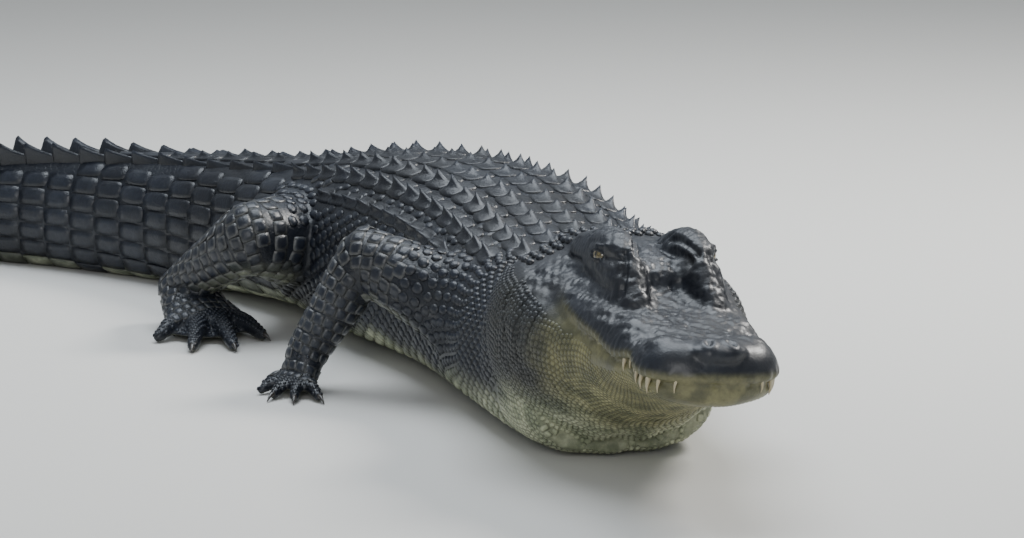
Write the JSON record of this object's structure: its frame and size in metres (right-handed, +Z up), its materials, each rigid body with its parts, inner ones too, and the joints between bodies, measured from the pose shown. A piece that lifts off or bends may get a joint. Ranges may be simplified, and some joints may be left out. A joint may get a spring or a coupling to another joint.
{
  "type": "american alligator",
  "caption": "Adult American alligator lying with its head raised and turned, tail stretched out behind, life-size still model.",
  "frame": {"origin": "middle of the animal's outline on the ground it lies on", "axes": "+X towards the head, along the length of the body; +Z up"},
  "size_m": [2.7274, 1.0504, 0.3241],
  "materials": {
    "hide": "satin",
    "jaw_hide": "satin",
    "eye": "gloss"
  },
  "bodies": {
    "root": {"head": "hide", "lower_jaw": "jaw_hide", "eye_right": "eye", "eye_left": "eye", "neck": "hide", "torso": "hide", "tail_base": "hide", "tail_fore": "hide", "tail_mid": "hide", "tail_tip": "hide", "upper_arm_right": "hide", "forearm_right": "hide", "hand_right": "hide", "upper_arm_left": "hide", "forearm_left": "hide", "hand_left": "hide", "thigh_right": "hide", "shank_right": "hide", "foot_right": "hide", "thigh_left": "hide", "shank_left": "hide", "foot_left": "hide"}
  },
  "joints": []
}
